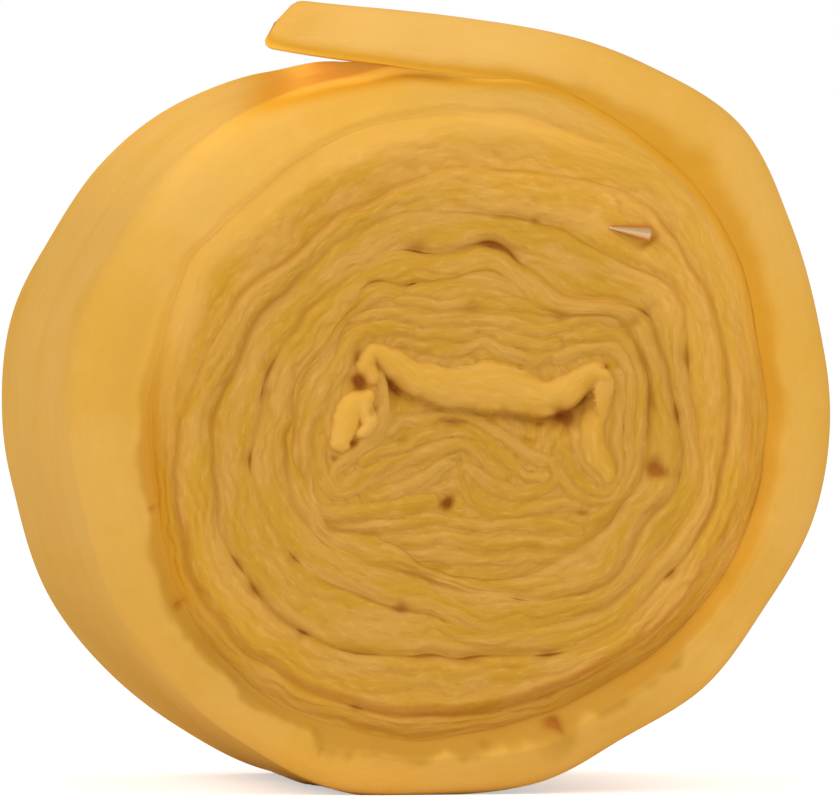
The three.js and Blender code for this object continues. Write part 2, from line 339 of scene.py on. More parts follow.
class Blanket:
    """The blanket's section at each of a row of places along it."""

    def __init__(self, turns):
        self.turns = turns
        wound = np.maximum(turns, 0)
        self.covered = ease(0.98, 1.12, turns)  # 0 on the outer wrap and 1 on the turns inside it
        self.outer = ring_point(turns, crease_radius(wound) + under_end(turns))
        self.inner = ring_point(turns, crease_radius(wound + 1) + under_end(wound + 1) - 0.6)
        lip = smooth_row(np.array(LIP, float), wound * DIRECTIONS)
        # the wrap's lip is pushed out of line at the lower left
        lip = lip + 9.0 * ease(0.535, 0.555, turns) * (1 - ease(0.560, 0.567, turns))
        lip = lip * (1 + 0.5 * unevenness(wander_heights, turns * 40.0, turns * 0 + 15))
        lip = lip + 1.5 * unevenness(wander_heights, turns * 110.0, turns * 0 + 25)
        self.lip = lip
        self.reach = reach_of(turns)
        self.along = length_along(turns)
        self.to_tip = self.along - length_along(np.array([-TAIL_TURNS]))
        near_tip = np.clip(1 - self.to_tip / TIP_RUN, 0, 1)
        self.end_round = TIP_FALL * (1 - np.sqrt(1 - near_tip ** 2))
        self.drawn = np.clip((DRAWN_FROM - turns) / (DRAWN_FROM + TAIL_TURNS), 0, 1)
        # rounding of the edge, which gets tight where the next turn holds it: how deep and how
        # broad it is on the outer and the inner face
        held = ease(0.92, 1.04, turns)
        shoulder = SHOULDER - 10.0 * self.drawn
        self.outer_deep = shoulder + (self.reach - HALF_WIDTH + crease_floor(turns) - shoulder) * held
        self.outer_broad = LOOSE_ROUNDING - (LOOSE_ROUNDING - HELD_ROUNDING) * held
        self.outer_broad = self.outer_broad + 7.0 * recessed(turns)
        self.inner_deep = self.reach - HALF_WIDTH + crease_floor(turns + 1)
        self.inner_broad = lip - (lip - HELD_ROUNDING) * held + 24.0 * raised(turns)
        self.roundness = 1 - held
        # the wool is fuller and painted paler as painted light just inside the outer wrap and on the
        # second turn at the upper left
        self.bright = ease(1.70, 1.82, turns) * (1 - ease(1.98, 2.3, turns))
        self.bright = self.bright + 0.7 * ease(1.0, 1.12, turns) * (1 - ease(1.15, 1.3, turns))
        # fuller wool on the outer wrap, and a painted sheen on the free end
        self.loose = 1.0 - self.covered + 0.5 * (1 - ease(0.0, 0.1, turns))
        # painted light: the wool is made to glow between the outer wrap and the next turn, standing in
        # for light that comes through it, most of all at the upper right, and again at the left
        lit = 0.5 + 0.5 * np.cos(2 * math.pi * turns - math.radians(60))
        first_crease = ease(0.93, 0.98, turns) * (1 - ease(1.12, 1.3, turns))
        self.outer_glow = (0.3 + 0.7 * lit) * first_crease
        facing = turns % 1
        left = 0.7 * ease(0.58, 0.68, facing) * (1 - ease(0.74, 0.84, facing))
        left = left * (1 - ease(1.8, 1.9, turns))
        self.left_glow = left * held
        self.inner_glow = lit ** 0.5 * (1 - ease(0.3, 0.48, turns)) + left * (1 - held)
        # painted shade: the wool is painted darker from the lower right round to the left, on both sides
        # of the same crease
        dull = ease(0.28, 0.40, facing) * (1 - ease(0.72, 0.82, facing))
        dull = dull * (1 - 0.45 * ease(0.62, 0.70, facing))
        self.outer_dull = 0.6 * dull * (1 - ease(1.8, 1.9, turns)) * held
        self.inner_dull = 0.85 * dull * (1 - held)

    def at(self, column):
        """The same values, for each point of a grid with one column to a place."""
        return SimpleNamespace(**{name: values[column] for name, values in vars(self).items()})


def ring_of_stops(edge_points, deep_stops, flank_points):
    """The blanket's section as a closed row of stops. Each has its place across the thickness (1 is
    the outer face and -1 the inner), the end it belongs to (-1 is the front), and where it lies:
    0 on the cut edge, above 0 that far behind the edge on the inner face, or below 0 as a share of
    the way from the middle of the outer face to the edge."""
    sweep = 0.6 * np.cos(np.linspace(0, math.pi, edge_points)) + 0.4 * np.linspace(1, -1, edge_points)
    flank = np.linspace(0.001, 1, flank_points)
    across = np.concatenate([np.ones(flank_points), sweep, -np.ones(len(deep_stops))])
    lies = np.concatenate([-flank, np.zeros(edge_points), np.array(deep_stops, float)])
    end = np.full(len(lies), -1.0)
    return (
        np.concatenate([across, across[::-1]]),
        np.concatenate([end, -end]),
        np.concatenate([lies, lies[::-1]]),
    )


def grid_mesh(name, columns, rows):
    """A plain grid and, for each of its points, its column and row."""
    bm = bmesh.new()
    bm.loops.layers.uv.new("blanket")
    bmesh.ops.create_grid(bm, x_segments=columns, y_segments=rows, size=1.0, calc_uvs=True)
    mesh = bpy.data.meshes.new(name)
    bm.to_mesh(mesh)
    bm.free()
    flat = np.zeros(len(mesh.vertices) * 3, np.float32)
    mesh.vertices.foreach_get("co", flat)
    flat = flat.reshape(-1, 3)
    column = np.rint((flat[:, 0] + 1) / 2 * columns).astype(int)
    row = np.rint((flat[:, 1] + 1) / 2 * rows).astype(int)
    return mesh, column, row


def set_points(mesh, x, y, z):
    """Moves a grid's points to their places about the axis. None of them goes below the floor."""
    co = np.stack([x + AXIS_X, y, np.maximum(z + AXIS_HEIGHT, 0.0)], axis=-1) * MM
    mesh.vertices.foreach_set("co", co.astype(np.float32).ravel())


def set_map(mesh, column, row, along, across):
    """The UV map is in metres, along the blanket and across it. A plain grid's own map says which
    column and row each corner of a face belongs to."""
    columns, rows = int(column.max()), int(row.max())
    places = np.zeros((columns + 1, rows + 1, 2))
    places[column, row, 0] = along
    places[column, row, 1] = across
    uv = np.zeros(len(mesh.loops) * 2, np.float32)
    layer = mesh.uv_layers["blanket"]
    layer.data.foreach_get("uv", uv)
    uv = uv.reshape(-1, 2)
    corner_column = np.rint(uv[:, 0] * columns).astype(int)
    corner_row = np.rint(uv[:, 1] * rows).astype(int)
    uv[:] = places[corner_column, corner_row] * MM
    layer.data.foreach_set("uv", uv.ravel())


def painted_light_and_shade(x, z):
    """Painted light and shade round the roll, as a scale on the wool's colour: darker towards the heart,
    painted shade on the wrap at the left, and painted light at the top, low on the wrap and next to the
    free end."""
    radius = np.maximum(np.hypot(x / SIDE_STRETCH, z), 1.0)

    def facing(direction):
        angle = math.radians(direction)
        return (x / SIDE_STRETCH * math.sin(angle) + z * math.cos(angle)) / radius

    top = facing(350)
    edge = 166 - 16 * top
    darker_inward = 0.09 * (1 - ease(edge - 12, edge + 12, radius)) + 0.03 * (1 - ease(30, 70, radius))
    upper = 0.11 * np.clip(top, 0, 1) ** 1.5 * ease(158, 185, radius) * (1 - ease(200, 222, radius))
    low = 0.11 * ease(0.3, 0.8, facing(175)) * ease(226, 242, radius)
    left = 0.06 * ease(0.5, 0.9, facing(258)) * ease(200, 212, radius)
    by_end = 0.05 * ease(0.93, 0.99, facing(335)) * ease(198, 215, radius)
    return 1 - darker_inward + upper + low - left + by_end


def set_wool_marks(mesh, **marks):
    """Puts the marks that the material reads on the points: hollow is painted shade at the bottoms of
    creases and pits, the loose mark the fuller wool of the outer wrap together with painted highlight
    and sheen, glow painted light where the wool is made to glow at its thin edges, ridge the height of
    the layers, whose valleys get painted shade, the low shade mark painted shade low on the roll, and
    shade the painted light and shade that scale how bright the wool is."""
    for label, values in marks.items():
        attribute = mesh.attributes.new(label, "FLOAT", "POINT")
        attribute.data.foreach_set("value", values.astype(np.float32))


def finish_wool(mesh, name):
    """Closes a wound grid where its edges meet, and smooths it over all but sharp folds."""
    bm = bmesh.new()
    bm.from_mesh(mesh)
    bmesh.ops.remove_doubles(bm, verts=bm.verts, dist=1e-5)
    bmesh.ops.recalc_face_normals(bm, faces=bm.faces)
    for face in bm.faces:
        face.smooth = True
    bm.to_mesh(mesh)
    bm.free()
    mesh.set_sharp_from_angle(angle=math.radians(65))
    piece = bpy.data.objects.new(name, mesh)
    bpy.context.scene.collection.objects.link(piece)
    return piece


def rounding(q, roundness):
    """Fall of a rounded edge: 0 where the rounding begins and 1 at the very edge, where q is 1. It
    drops away at the edge where roundness is 1, and slopes off evenly where it is 0."""
    full = 1 - (1 - q ** 2.3) ** (1 / 2.3)
    return roundness * full + (1 - roundness) * q * q * (3 - 2 * q)


def pinch(outer, inner, steps, bow):
    """Narrows a strip to nothing at both ends, on a rounded curve."""
    t = 1 - np.arange(steps) / steps
    narrow = (1 - t ** bow) ** (1 / bow)
    keep = np.ones(len(outer))
    keep[:steps] = narrow
    keep[-steps:] = narrow[::-1]
    middle = (outer + inner) / 2
    return middle + (outer - middle) * keep[:, None], middle + (inner - middle) * keep[:, None]


def turns_between(start, stop, step):
    """A row of places along the blanket, closer together on its free end."""
    turns = [start]
    while turns[-1] < stop:
        radius = crease_radii[int(max(turns[-1], 0) * DIRECTIONS)]
        closer = 0.5 if turns[-1] < 0 else 1.0
        turns.append(turns[-1] + closer * step / (2 * math.pi * radius))
    return np.array(turns)


def draw_out_tip(x, z, drawn, to_end, to_face):
    """Draws out the free end's tip. to_end runs from -1 at the front to 1 at the back, and to_face
    from -1 on the inner face to 1 on the outer."""
    for (end, face), (sideways, upwards) in TAIL_CORNERS.items():
        share = (1 + to_end if end == "back" else 1 - to_end) / 2
        share = share * (1 + to_face if face == "outer" else 1 - to_face) / 2
        x = x + sideways * share * drawn ** 1.5
        z = z + upwards * share * drawn ** 3.5
    return x, z


def light_through(here, across, to_back, from_outer, from_inner, ragged):
    """How much painted light the wool gives off at its thin edges, standing in for light that comes
    through them. to_back is 0 at the front end and 1 at the back."""
    glow = here.outer_glow * np.exp(-(from_outer / 7.0) ** 2)
    glow = glow + here.left_glow * np.exp(-((from_outer + 6 * ragged) / 14.0) ** 2)
    on_lip = from_inner / here.lip + 0.5 * ragged
    glow = glow + 0.8 * here.inner_glow * (1 - ease(0.2, 1.5, on_lip))
    # painted light on the free end's tip and along its underside, where it is thin
    glow = glow + 0.4 * (1 - ease(2.0, 45.0, here.to_tip))
    glow = glow + 0.45 * (1 - ease(0.03, 0.08, here.turns)) * ease(0.6, 1.0, -across)
    # painted light on the wrap below the free end, where the free end's shadow falls, over a longer
    # stretch at the front than the back
    begins = 0.89 + 0.04 * to_back
    below = 1.65 * (1 - 0.38 * to_back) * ease(begins, begins + 0.05, here.turns)
    below = below * (1 - ease(1.0, 1.06, here.turns)) * (1 - 0.35 * ease(0.985, 1.0, here.turns))
    return glow + below * np.exp(-(from_outer / 9.0) ** 2)


def flat_and_dull(here, from_outer, from_inner, ragged):
    """Painted shade low on the roll, on both sides of the crease inside the outer wrap."""
    dull = here.outer_dull * np.exp(-((from_outer + 6 * ragged) / 20.0) ** 2)
    return dull + here.inner_dull * (1 - ease(0.6, 1.35, from_inner / here.lip + ragged))


# How far behind the edge the points of the inner face lie
INNER_FACE_STOPS = [3, 7, 12, 20, 60, 170]
# The back end's layers are taken from another stretch of the noise than the front end's.
BACK_LAYERS = 5170.0
LAYERING = 5.2  # the thicker the section, the more layers show, though not in proportion
wool_heights = lattice(3)


def make_turns(name, start, stop, step, edge_points, flank_points, end_steps, bow):
    """A piece of the wound blanket, between two places along it."""
    blanket = Blanket(turns_between(start, stop, step))
    stops = ring_of_stops(edge_points, INNER_FACE_STOPS, flank_points)
    ring = len(stops[0])
    mesh, column, row = grid_mesh(name, len(blanket.turns) - 1, ring)
    across, end, lies = (values[row % ring] for values in stops)
    on_cut = lies == 0
    on_outer = lies < 0
    on_inner = lies > 0
    here = blanket.at(column)
    outer, inner = pinch(blanket.outer, blanket.inner, end_steps, bow)
    outer, inner = outer[column], inner[column]
    x = (outer[:, 0] + inner[:, 0]) / 2 + across * (outer[:, 0] - inner[:, 0]) / 2
    z = (outer[:, 1] + inner[:, 1]) / 2 + across * (outer[:, 1] - inner[:, 1]) / 2
    outwards = outer - inner
    pinched = np.linalg.norm(outwards, axis=1)
    outwards = outwards / np.maximum(pinched, 1e-6)[:, None]
    thickness = np.linalg.norm(here.outer - here.inner, axis=1)
    from_outer = (1 - across) * thickness / 2
    from_inner = (1 + across) * thickness / 2

    # rounding of the edge
    outer_q = 1 - np.minimum(from_outer / here.outer_broad, 1)
    inner_q = 1 - np.minimum(from_inner / here.inner_broad, 1)
    outer_fall = here.outer_deep * rounding(outer_q, here.roundness)
    inner_fall = here.inner_deep * rounding(inner_q, 0.3 * here.roundness)
    fall = np.maximum(outer_fall, inner_fall)

    # layers and swellings of the cut edge, which are fainter where the wool is loose or full
    run = here.along + np.where(end < 0, 0, BACK_LAYERS) * on_cut
    layer_place = (1 - across) / 2 * thickness ** 0.5 * LAYERING
    bright = here.bright * (1 - ease(6.0, 30.0, from_outer))
    loose = here.loose + bright * 0.85 * (1 - here.loose)
    height = 0.25 + 0.75 * here.covered - 0.15 * ease(2.6, 3.4, here.turns)
    layers = layer_relief(wool_heights, run, layer_place) * (height * (1 - 0.5 * bright))
    swell = 3.0 * unevenness(wool_heights, run / 60.0 + 5, layer_place / 22.0 + 7)
    fade = ease(0.0, 2.5, np.minimum(from_outer, from_inner))
    pit = np.where(end < 0, pressed_in(x, z), 0.0)

    # where a piece overlaps the next, its edge sinks below the other's
    from_end = blanket.along[-1] - here.along
    if start > 0:
        from_end = np.minimum(from_end, here.along - blanket.along[0])
    sink = 3.0 * (1 - ease(0.0, 24.0, from_end))
    reach = here.reach - here.end_round - sink
    edge_y = reach - fall + (layers + swell) * fade - pit
    base_y = reach - np.where(across > 0, here.outer_deep, here.inner_deep)
    y = np.where(on_cut, edge_y, np.where(on_outer, -base_y * lies, base_y - lies))

    # the outer face is lumpy, with faint bands round the roll, and the inner face sinks a little
    # into the turn below it
    full = np.minimum(loose, 1)
    lump = unevenness(wool_heights, here.along / 80.0, y * end / 70.0 + 20)
    band = unevenness(wool_heights, here.along / 260.0 + 30, y * end / 16.0 + 60)
    lift = full * (4.0 * lump + 0.6 * band) * ease(0, 25, HALF_WIDTH - y)
    lift = np.where(across > 0.99, lift, 0.0)
    lift = np.where(on_inner, -ease(4, 16, lies), lift)
    x = x + lift * outwards[:, 0]
    z = z + lift * outwards[:, 1]
    to_end = end * y / HALF_WIDTH
    x, z = draw_out_tip(x, z, here.drawn, to_end, across * (pinched / thickness))
    set_points(mesh, x, end * y, z)
    face_place = np.where(on_outer, y - here.reach, layer_place + lies)
    set_map(mesh, column, row, run, np.where(on_cut, layer_place, face_place))

    # marks for the material, most of them painted light and shade
    ragged = 0.7 * unevenness(wool_heights, run / 19.0 + 33, layer_place / 25.0)
    ragged = ragged + 0.25 * unevenness(wool_heights, run / 6.0, layer_place / 9.0)
    glow = light_through(here, across, (1 + to_end) / 2, from_outer, from_inner, ragged)
    # painted shade low on the roll, on both sides of the crease inside the outer wrap
    dull = np.where(on_cut, flat_and_dull(here, from_outer, from_inner, ragged), 0.0)
    outer_line = crease_line(here.turns, from_outer) * here.covered
    inner_line = crease_line(here.turns + 1, from_inner)
    # painted shade along the creases and in the pits, and over the inner face deep in a crease
    in_cut = np.maximum(outer_line, inner_line) * (1 - 0.6 * full) + 0.2 * pit
    in_crease = np.where(on_outer, 0.0, 0.55 + 0.45 * ease(0, 10, lies))
    hollow = np.where(on_cut, np.clip(in_cut, 0, 1), in_crease)
    ridge = np.where(on_cut, 1 + layers / 2.0, 0.5)
    # painted light: the wrap is painted brighter on its way up to where the free end covers it and casts
    # its shadow
    by_end = 0.16 * ease(0.83, 0.90, here.turns) + 0.06 * ease(0.935, 0.955, here.turns)
    by_end = by_end * (1 - ease(0.965, 0.995, here.turns))
    by_end = by_end * np.where(on_inner, 0.0, np.exp(-(from_outer / 10.0) ** 2))
    shade = painted_light_and_shade(x, z) + by_end
    set_wool_marks(mesh, hollow=hollow, loose=loose, glow=glow, ridge=ridge, shade=shade, dull=dull)
    return finish_wool(mesh, name)


# ---------- The folded heart ----------

# Each fold of the doubled-up end: how far it stands out, then its run as x and z about the axis and
# half its thickness there.
FOLDS = {
    "tongue": (8, [
        (-50, 32, 6), (-54, 40, 7), (-47, 48, 7), (-35, 40, 9), (-21, 31, 11.5), (-1, 26, 13.5),
        (19, 25, 16), (38, 24, 16.5), (58, 19, 13.5), (75, 19, 11.5), (88, 28, 9.5), (98, 34, 8),
        (105, 32, 6.5)]),
    "drop": (5.5, [
        (103, 36, 6.5), (106, 26, 7.5), (102, 13, 8), (99, -3, 8), (101, -17, 8), (106, -27, 6.5),
        (109, -35, 4.5)]),
    "drop_lining": (3, [
        (93, 23, 3.5), (89, 13, 4), (87, 0, 4.5), (90, -13, 4.5), (96, -24, 4.5), (102, -34, 4.5),
        (109, -40, 4.5), (116, -35, 4), (117, -24, 3.5)]),
    "nest_1": (3.5, [
        (117, 33, 4), (117, 17, 4), (116, -3, 4), (117, -20, 4), (117, -32, 4), (110, -44, 4),
        (100, -46, 4), (91, -39, 4), (85, -27, 4), (80, -18, 3.5)]),
    "nest_2": (4, [
        (75, 42, 4), (88, 48, 4), (102, 51, 4.5), (116, 47, 4.5), (122, 36, 4), (124, 17, 4),
        (124, -3, 4), (124, -20, 4), (120, -35, 4), (111, -50, 4), (97, -52, 4), (86, -46, 4),
        (78, -35, 4), (73, -26, 3.5)]),
    "nest_3": (5, [
        (83, 55, 3.5), (101, 60, 4), (118, 56, 4.5), (128, 44, 4.5), (132, 26, 4.5), (133, 3, 4.5),
        (132, -17, 4.5), (128, -33, 4.5), (120, -48, 4.5), (109, -59, 4.5), (100, -65, 4)]),
    "left_wall": (4.5, [
        (-23, 61, 3.5), (-36, 64, 4.5), (-52, 63, 5.5), (-64, 56, 6), (-69, 44, 6), (-72, 34, 6.5),
        (-81, 23, 7.5), (-87, 13, 7.5), (-91, 1, 5.5), (-93, -17, 4), (-93, -33, 4), (-90, -50, 4.5),
        (-80, -59, 4.5), (-64, -60, 5.5), (-44, -57, 6), (-24, -53, 6), (-8, -50, 5.5)]),
    "knot": (6, [(-53, 17, 5.5), (-62, 12, 8.5), (-67, -1, 9), (-69, -12, 7)]),
    "knot_hook": (6, [(-55, 11, 6), (-50, 2, 5.5), (-54, -6, 4.5)]),
    "neck": (4, [
        (-42, 31, 5.5), (-39, 20, 6), (-40, 9, 6), (-45, -3, 6), (-53, -14, 5.5), (-62, -22, 4.5),
        (-71, -27, 4.5), (-73, -35, 4.5), (-67, -40, 4), (-59, -35, 4)]),
    "loop": (4, [
        (-81, -10, 4), (-83, -23, 4.5), (-81, -36, 5.5), (-73, -45, 5.5), (-63, -44, 5.5),
        (-51, -36, 5.5), (-36, -28, 5.5), (-21, -22, 5.5), (-5, -17, 5.5), (9, -13, 4.5),
        (19, -17, 5.5), (28, -26, 5.5), (38, -35, 4.5)]),
    "saddle_1": (3.5, [
        (-54, -25, 4), (-43, -18, 4.5), (-30, -14, 4.5), (-15, -10, 4.5), (-1, -5, 4.5), (12, -3, 4.5),
        (23, -8, 4.5), (32, -17, 4.5), (43, -26, 4.5), (55, -34, 4.5), (68, -36, 4)]),
    "saddle_2": (3, [
        (-38, -5, 4), (-28, 1, 4.5), (-13, 2, 4.5), (2, 7, 4), (17, 5, 4), (30, -2, 4.5),
        (42, -11, 4.5), (55, -20, 4.5), (68, -26, 4)]),
    "saddle_3": (3, [
        (15, -30, 4), (25, -36, 4.5), (38, -44, 5.5), (55, -46, 5.5), (71, -40, 4.5), (77, -35, 3.5)]),
    "mound": (3, [(-50, -48, 4), (-32, -43, 5.5), (-15, -37, 6), (-1, -30, 5.5), (7, -24, 4)]),
    "right_of_pit": (3, [
        (14, -31, 4), (16, -43, 4.5), (22, -53, 5.5), (35, -58, 5.5), (55, -57, 5.5), (75, -54, 5.5),
        (88, -56, 4)]),
    "low_1": (3, [
        (-85, -69, 4), (-64, -70, 4.5), (-38, -67, 4.5), (-11, -63, 4.5), (5, -65, 4), (22, -68, 4),
        (48, -67, 4.5), (75, -67, 4.5), (91, -71, 4)]),
    "low_2": (3, [
        (-67, -80, 4), (-38, -78, 4.5), (-5, -76, 4.5), (28, -79, 4.5), (61, -78, 4.5), (95, -79, 4),
        (111, -71, 4), (125, -58, 4), (136, -43, 4)]),
    "low_3": (3, [(-44, -89, 4), (-11, -87, 4.5), (22, -90, 4.5), (55, -89, 4.5), (85, -89, 4)]),
    "top_1": (3, [
        (-32, 54, 3.5), (-11, 50, 4.5), (9, 49, 4), (24, 53, 4), (42, 48, 5.5), (58, 40, 4.5),
        (69, 42, 4)]),
    "top_2": (3, [(-18, 61, 4), (2, 59, 4.5), (22, 61, 4.5), (42, 58, 4.5), (61, 51, 4.5), (75, 52, 4)]),
    "top_3": (3, [
        (-63, 71, 3.5), (-38, 74, 4), (-11, 69, 4.5), (19, 71, 4.5), (38, 67, 4.5), (61, 61, 4.5),
        (79, 64, 4), (101, 71, 4), (116, 68, 4)]),
    "top_4": (2.5, [(-31, 83, 4), (-5, 79, 4), (22, 81, 4.5), (48, 77, 4.5), (75, 74, 4), (96, 80, 4)]),
    "left_1": (3, [
        (-75, 58, 4), (-80, 42, 4.5), (-89, 27, 4.5), (-96, 13, 4.5), (-99, -3, 4), (-101, -23, 4),
        (-100, -43, 4), (-95, -58, 4)]),
}
# The tongue hangs over an open hollow, which is deepest along its lower edge.
HOLLOW_DEPTHS = [8, 8, 5, 5, 7, 11, 8]  # from the tongue's start to its end
HOLLOW_HEIGHT = 20.0
HOLLOW_START = 28.0  # how far along the tongue it begins
HOLLOW_STOP = 22.0  # how far before the tongue's end it starts to close
# Full folds painted paler and brighter, as painted highlight
LIT_FULL_FOLDS = {"tongue": 0.5, "knot": 0.9, "knot_hook": 0.7, "drop": 0.3}
# Pits between the folds: x, z, slope, half length, half width and depth
HEART_PITS = [
    (-58, 27, 100, 6, 5, 9), (-59, 46, 80, 5, 2, 3.5), (-60, -13, 25, 4, 2.5, 5),
    (-74, -23, 0, 2.5, 2, 3), (-49, 8, 60, 3.5, 2.5, 4), (3, -52, 50, 5, 4, 9),
    (79, 5, -40, 8.5, 5, 8), (108, 38, 0, 4, 1.5, 3), (93, -61, 0, 4, 1.5, 3.5),
    (64, -1, 0, 2.5, 1.5, 2.5), (56, -11, -25, 6, 2, 3), (7, 0, 5, 8, 2.5, 4),
    (-28, -11, 0, 5, 2, 2.5), (7, -25, 0, 4, 2.5, 3), (23, 60, 0, 5, 3, 3), (-32, 25, -30, 8, 4, 5),
]
HEART_PIT_SHARE = 0.8
HEART_MIDDLE = (14.0, -4.0)
HEART_TURN = len(CREASES) - 1  # the crease's last turn, which goes round the heart
TALL = 5  # folds that stand out further than this are blunt, and lower ones are thin ridges
FOLD_MERGE = 1.3  # the higher, the sharper the line where two folds meet


def along_fold(fold, x, z):
    """Distance from the middle of a fold, the side of it a place is on, how far along it the place
    is, the fold's length and half its thickness there."""
    stops = np.array(fold, float)
    fine = np.linspace(0, len(stops) - 1, 3 * (len(stops) - 1) + 1)
    px, pz, half = (smooth_row(stops[:, k], fine) for k in range(3))
    lengths = np.hypot(np.diff(px), np.diff(pz))
    starts = np.concatenate([[0.0], np.cumsum(lengths)])
    nearest = np.full(x.shape, 1e9)
    side = np.zeros(x.shape)
    place = np.zeros(x.shape)
    for k, length in enumerate(lengths):
        dx = (px[k + 1] - px[k]) / length
        dz = (pz[k + 1] - pz[k]) / length
        ax, az = x - px[k], z - pz[k]
        t = np.clip(ax * dx + az * dz, 0, length)
        distance = np.hypot(ax - t * dx, az - t * dz)
        closer = distance < nearest
        nearest = np.where(closer, distance, nearest)
        side = np.where(closer, np.sign(az * dx - ax * dz), side)
        place = np.where(closer, starts[k] + t, place)
    return nearest, side, place, starts[-1], np.interp(place, starts, half)


def under_tongue(place, length, side, clear):
    """How deep the hollow under the tongue is, at a place along it and a distance clear of it."""
    wide = ease(HOLLOW_START, HOLLOW_START + 12, place) * (1 - ease(length - HOLLOW_STOP, length, place))
    low = np.clip(1 - clear / HOLLOW_HEIGHT, 0, 1) ** 1.3
    depth = smooth_row(np.array(HOLLOW_DEPTHS, float), place / length * (len(HOLLOW_DEPTHS) - 1))
    return np.where(side < 0, depth * wide * low * ease(0.0, 3.0, clear), 0)


def heart_relief(x, z):
    """The folded heart's front: its height over a flat end, how much painted shade it gets in its
    hollows, how high its layers stand, how much painted highlight its full folds get, and where its map
    lies."""
    heights = lattice(5)
    # between the folds the layers run round the heart
    run = 80.0 * np.arctan2(x - HEART_MIDDLE[0], z - HEART_MIDDLE[1])
    across = np.hypot(x - HEART_MIDDLE[0], z - HEART_MIDDLE[1])
    # the folds waver, sideways first and then up and down
    slow = 3.0 * unevenness(heights, x / 14.0 + 5, z / 14.0)
    fast = 1.2 * unevenness(heights, x / 5.0, z / 5.0 + 60)
    x = x + slow + fast
    slow = 3.0 * unevenness(heights, x / 14.0 + 45, z / 14.0)
    fast = 1.2 * unevenness(heights, x / 5.0 + 50, z / 5.0)
    z = z + slow + fast
    stand = np.zeros(x.shape)
    piled = np.zeros(x.shape)
    full = np.zeros(x.shape)
    gap = np.full(x.shape, 1e9)
    for k, (name, (out, fold)) in enumerate(FOLDS.items()):
        distance, side, place, length, half = along_fold(fold, x, z)
        half = half * (1 + 0.3 * unevenness(heights, place / 13.0, side + 3.3 * k))
        clear = distance - half
        gap = np.minimum(gap, np.maximum(clear, 0))
        if name == "tongue":
            open_hollow = under_tongue(place, length, side, clear)
        out, sharpness = (out, 0.7) if out > TALL else (0.55 * out, 1.3)
        q = np.clip(distance / half, 0, 1)
        height = out * (1 - q ** 2) ** sharpness
        height = height * (1 + 0.5 * unevenness(heights, place / 17.0 + 50, place * 0 + k))
        piled += np.exp(FOLD_MERGE * height) - 1
        higher = height > stand
        run = np.where(higher, place + 300 * k, run)
        across = np.where(higher, side * distance + 20 * k, across)
        stand = np.where(higher, height, stand)
        # painted highlight on the full folds
        full = np.where(higher, LIT_FULL_FOLDS.get(name, 0.0) * ease(0.0, 0.7, height / out), full)
    stand = np.log(1 + piled) / FOLD_MERGE
    stand = stand * np.clip(1 - open_hollow / 12.0, 0, 1)
    calm = 1 - 0.55 * np.clip(stand / 7.0, 0, 1)
    layers = 0.55 * layer_relief(heights, run, across) * calm
    pit = np.zeros(x.shape)
    for middle_x, middle_z, slope, long, wide, deep in HEART_PITS:
        pit += HEART_PIT_SHARE * deep * dent(x, z, middle_x, middle_z, slope, long, wide)
    # painted shade between the folds, in the pits and in the hollow under the tongue
    between_folds = 0.28 * np.exp(-(stand / 0.9) ** 2) * np.exp(-(gap / 2.5) ** 2)
    hollow = np.clip(between_folds + 0.16 * pit + open_hollow / 17.0, 0, 1)
    height = 0.65 * stand - pit - open_hollow + layers
    return height, hollow, 0.9 + layers / 1.3, full, run, across


def closed_round(measure, turns):
    """A measure of the crease round the heart, led back at the last to what it began with."""
    values = measure(HEART_TURN + turns)
    first = measure(np.array([float(HEART_TURN)]))[0]
    return values + (first - values) * ease(0.9, 1.0, turns)


def make_heart():
    """The heart as one closed form, from the middle of the front out to its rim, along its side and
    in to the middle of the back."""
    columns = 460
    front = np.linspace(0.0, 1.0, 115)
    back = np.linspace(1.0, 0.0, 60)
    side = np.array([4.0, 10.0, 20.0, 60.0, 190.0])
    share = np.concatenate([front, np.ones(2 * len(side) - 1), back])
    behind = np.concatenate([front * 0, side, side[-2::-1], back * 0])
    end = np.concatenate([-np.ones(len(front) + len(side)), np.ones(len(side) - 1 + len(back))])
    mesh, column, row = grid_mesh("heart", columns, len(share) - 1)
    share, behind, end = share[row], behind[row], end[row]
    turns = column / columns
    rim = closed_round(crease_radius, turns) + 0.6
    edge = ring_point(turns, rim)
    x = HEART_MIDDLE[0] + (edge[:, 0] - HEART_MIDDLE[0]) * share
    z = HEART_MIDDLE[1] + (edge[:, 1] - HEART_MIDDLE[1]) * share
    height, hollow, ridge, full, run, across = heart_relief(x, z)
    inset = (1 - share) * rim
    floor = closed_round(crease_floor, turns)
    fall = (floor - INNER_SET_BACK) * (1 - ease(0, HELD_ROUNDING, inset))
    pit = np.where(end < 0, pressed_in(x, z), 0)
    top = HALF_WIDTH - INNER_SET_BACK - fall + height * ease(0, 5, inset) - pit
    y = np.where(behind > 0, HALF_WIDTH - floor - behind, top)
    set_points(mesh, x, end * y, z)
    set_map(mesh, column, row, run, across)
    # painted shade along the crease round the heart, in the pits, and all over the heart's side deep in
    # the crease
    line = crease_line(HEART_TURN + turns, inset)
    hollow = np.where(behind > 0, 1.0, np.clip(hollow + 0.2 * pit + line, 0, 1))
    # painted highlight on the full folds
    shade = painted_light_and_shade(x, z) + 0.1 * np.minimum(full / 0.35, 1)
    none = np.zeros(x.shape)
    set_wool_marks(mesh, hollow=hollow, loose=full, glow=none, ridge=ridge, shade=shade, dull=none)
    return finish_wool(mesh, "heart")


